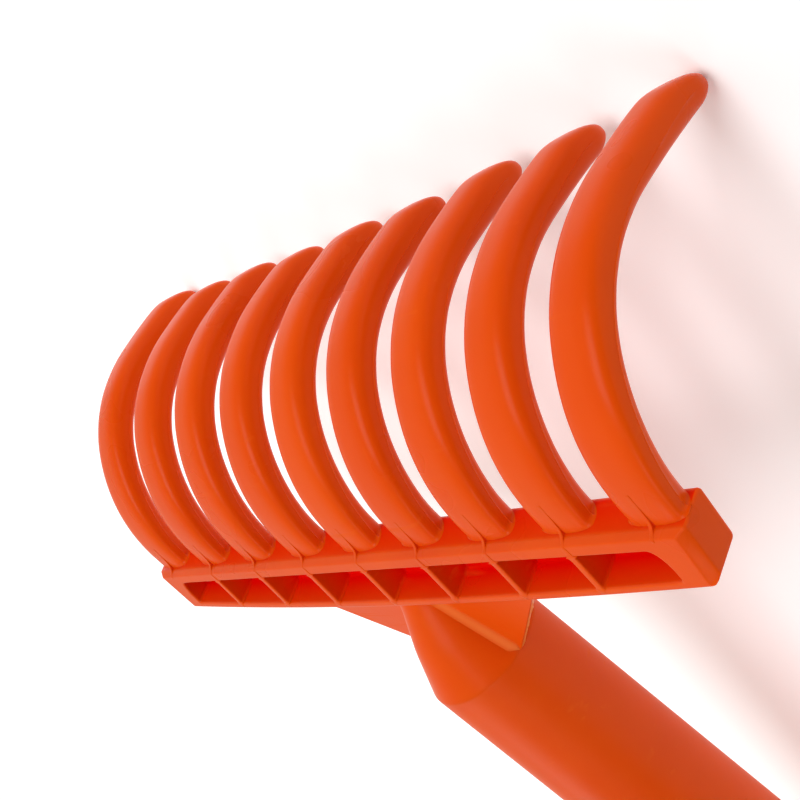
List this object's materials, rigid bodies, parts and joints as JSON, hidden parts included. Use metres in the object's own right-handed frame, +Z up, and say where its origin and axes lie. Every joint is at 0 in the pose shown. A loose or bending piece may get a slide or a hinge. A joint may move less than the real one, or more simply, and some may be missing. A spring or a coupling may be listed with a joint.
{
  "type": "hand leaf rake",
  "caption": "One-hand leaf grabber: hooked tines on a ribbed channel head, joined by a webbed conical neck to a hollow round handle.",
  "frame": {"origin": "centre of the part's footprint on the surface it lies on", "axes": "+X along the head towards tine 1, +Y from the handle towards the tines, +Z up from the floor, back of the hand upwards"},
  "size_m": [0.1834, 0.2802, 0.0593],
  "materials": {
    "body_plastic": "injection-moulded orange plastic with a soft satin gloss"
  },
  "bodies": {
    "root": {"tine_1": "body_plastic", "tine_2": "body_plastic", "tine_3": "body_plastic", "tine_4": "body_plastic", "tine_5": "body_plastic", "tine_6": "body_plastic", "tine_7": "body_plastic", "tine_8": "body_plastic", "tine_9": "body_plastic", "palm_wall": "body_plastic", "fin_1": "body_plastic", "rib_2": "body_plastic", "rib_3": "body_plastic", "rib_4": "body_plastic", "rib_5": "body_plastic", "rib_6": "body_plastic", "rib_7": "body_plastic", "rib_8": "body_plastic", "fin_9": "body_plastic", "upper_wall": "body_plastic", "lower_wall": "body_plastic", "end_block_right": "body_plastic", "end_block_left": "body_plastic", "neck_cone": "body_plastic", "handle_tube": "body_plastic", "web_right": "body_plastic", "web_left": "body_plastic"}
  },
  "joints": []
}
